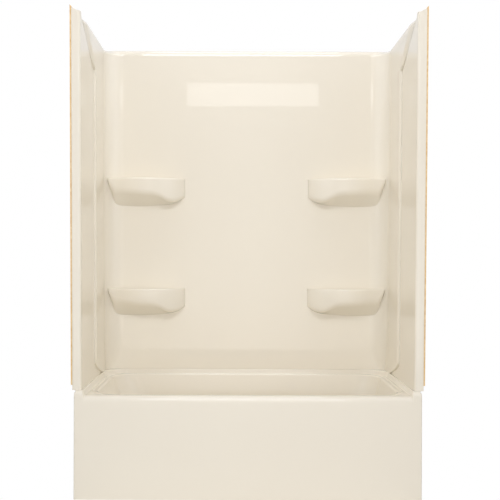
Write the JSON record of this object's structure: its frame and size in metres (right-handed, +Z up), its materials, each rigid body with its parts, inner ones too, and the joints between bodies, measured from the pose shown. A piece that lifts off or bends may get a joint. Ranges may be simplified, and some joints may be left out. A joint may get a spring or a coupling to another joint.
{
  "type": "bathtub with wall surround",
  "caption": "Almond replacement bathtub with apron and raised border, wall surround with corner shelves, wood and foam supports, and a waste and overflow worked by a trip lever.",
  "frame": {"origin": "on the floor, at the middle of the overall width and depth", "axes": "+Z up, the apron faces -Y, and the drain is at the +X end"},
  "size_m": [1.4188, 0.6861, 1.9485],
  "materials": {
    "almond_plastic": "glossy moulded almond plastic",
    "pine": "sawn and planed pine",
    "plywood": "rough plywood",
    "white_foam": "moulded bead foam",
    "chrome": "polished chrome plate",
    "waste_plastic": "smooth white pipe plastic",
    "black_rubber": "matte black rubber",
    "brass": "bright drawn and turned brass"
  },
  "bodies": {
    "bath": {"apron_bottom_rail": "pine", "apron_post_left": "pine", "apron_post_middle": "pine", "apron_post_right": "pine", "apron_top_rail": "pine", "back_panel": "almond_plastic", "bottom_board": "plywood", "drain_shoe": "waste_plastic", "drain_strainer": "chrome", "drain_washer": "black_rubber", "floor_pad": "white_foam", "left_end_panel": "almond_plastic", "left_flange_backer": "pine", "overflow_elbow": "waste_plastic", "overflow_gasket": "black_rubber", "overflow_plate": "chrome", "overflow_tube": "chrome", "plate_screw_left": "chrome", "plate_screw_right": "chrome", "right_end_panel": "almond_plastic", "right_flange_backer": "pine", "runner_back": "pine", "runner_front": "pine", "runner_middle": "pine", "shelf_lower_left": "almond_plastic", "shelf_lower_right": "almond_plastic", "shelf_upper_left": "almond_plastic", "shelf_upper_right": "almond_plastic", "slip_nut_branch": "chrome", "slip_nut_elbow": "chrome", "slip_nut_shoe": "chrome", "slip_nut_tee": "chrome", "slip_washer_branch": "black_rubber", "slip_washer_elbow": "black_rubber", "slip_washer_shoe": "black_rubber", "slip_washer_tee": "black_rubber", "trip_bracket": "chrome", "trip_pin": "chrome", "tub_shell": "almond_plastic", "waste_arm": "chrome", "waste_tee": "waste_plastic"},
    "trip_lever": {"trip_lever": "chrome"},
    "plunger_linkage": {"linkage_rod": "brass", "plunger": "brass"}
  },
  "joints": [
    {"name": "lever_swing", "type": "hinge", "parent": "bath", "child": "trip_lever", "pos_m": [0.58057, 0, 0.30051], "axis": [0, 1, 0], "range_deg": [0, 30]},
    {"name": "plunger_slide", "type": "slide", "parent": "bath", "child": "plunger_linkage", "axis": [0, 0, -1], "range_m": [0, 0.02466]}
  ],
  "couplings": [
    {"joint": "plunger_slide", "follows": "lever_swing", "m_per_rad": 0.04708}
  ]
}
